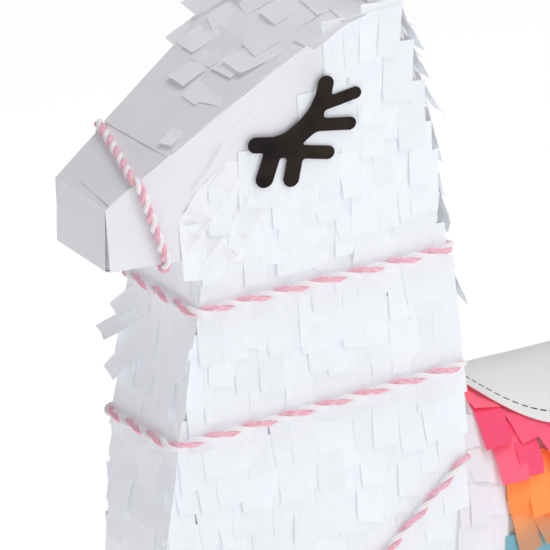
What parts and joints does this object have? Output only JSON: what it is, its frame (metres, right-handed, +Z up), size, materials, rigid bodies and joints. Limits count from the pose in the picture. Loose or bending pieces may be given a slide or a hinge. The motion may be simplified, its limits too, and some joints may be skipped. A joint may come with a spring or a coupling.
{
  "type": "pinata",
  "caption": "Standing llama pinata of white card covered in rows of tissue fringe, with a bright saddle, twine round its neck and muzzle, and a fill flap in its back.",
  "frame": {"origin": "on the floor under the middle of the whole pinata", "axes": "+Z up, +X towards the tail so that the llama faces -X, +Y to the llama's right"},
  "size_m": [0.3714, 0.1094, 0.544],
  "materials": {
    "white_card": "matte",
    "white_paper": "matte",
    "white_tissue": "matte",
    "pink_tissue": "matte",
    "orange_tissue": "matte",
    "blue_tissue": "matte",
    "label_paper": "satin",
    "pink_white_twine": "matte",
    "black_gloss_card": "gloss"
  },
  "bodies": {
    "shell": {"back_panel": "white_card", "barrel_side_left": "white_card", "barrel_side_right": "white_card", "belly_panel": "white_card", "bridle_twine": "pink_white_twine", "cheek_paper_left": "white_paper", "cheek_paper_right": "white_paper", "chest_floor": "white_card", "chin_panel": "white_card", "crown_fringe": "white_tissue", "crown_panel": "white_card", "ear_fringe_left": "white_tissue", "ear_fringe_right": "white_tissue", "ear_left": "white_card", "ear_right": "white_card", "forehead_fringe": "white_tissue", "label_rim": "label_paper", "lash_decal_left": "black_gloss_card", "lash_decal_right": "black_gloss_card", "leg_fringe_front_left": "white_tissue", "leg_fringe_front_right": "white_tissue", "leg_fringe_rear_left": "white_tissue", "leg_fringe_rear_right": "white_tissue", "leg_front_left": "white_card", "leg_front_right": "white_card", "leg_rear_left": "white_card", "leg_rear_right": "white_card", "muzzle_front": "white_card", "muzzle_wrap": "white_paper", "neck_back": "white_card", "neck_back_fringe": "white_tissue", "neck_fringe_left": "white_tissue", "neck_fringe_right": "white_tissue", "neck_front": "white_card", "neck_front_fringe": "white_tissue", "neck_side_left": "white_card", "neck_side_right": "white_card", "neck_twine": "pink_white_twine", "nose_bridge": "white_card", "rump_fringe": "white_tissue", "rump_panel": "white_card", "rump_side_fringe_left": "white_tissue", "rump_side_fringe_right": "white_tissue", "saddle_blue_left": "blue_tissue", "saddle_blue_right": "blue_tissue", "saddle_orange_left": "orange_tissue", "saddle_orange_right": "orange_tissue", "saddle_pink_left": "pink_tissue", "saddle_pink_right": "pink_tissue", "shoulder_fringe_left": "white_tissue", "shoulder_fringe_right": "white_tissue", "sole_front_left": "white_card", "sole_front_right": "white_card", "sole_rear_left": "white_card", "sole_rear_right": "white_card", "tail_fringe": "white_tissue", "tail_tab": "white_card"},
    "flap": {"fill_flap": "white_card", "flap_tissue": "pink_tissue", "label_flap": "label_paper"}
  },
  "joints": [
    {"name": "fill_fold", "type": "hinge", "parent": "shell", "child": "flap", "pos_m": [0.05945, 0.024, 0.25376], "axis": [-1, 0, 0], "range_deg": [0, 110]}
  ]
}
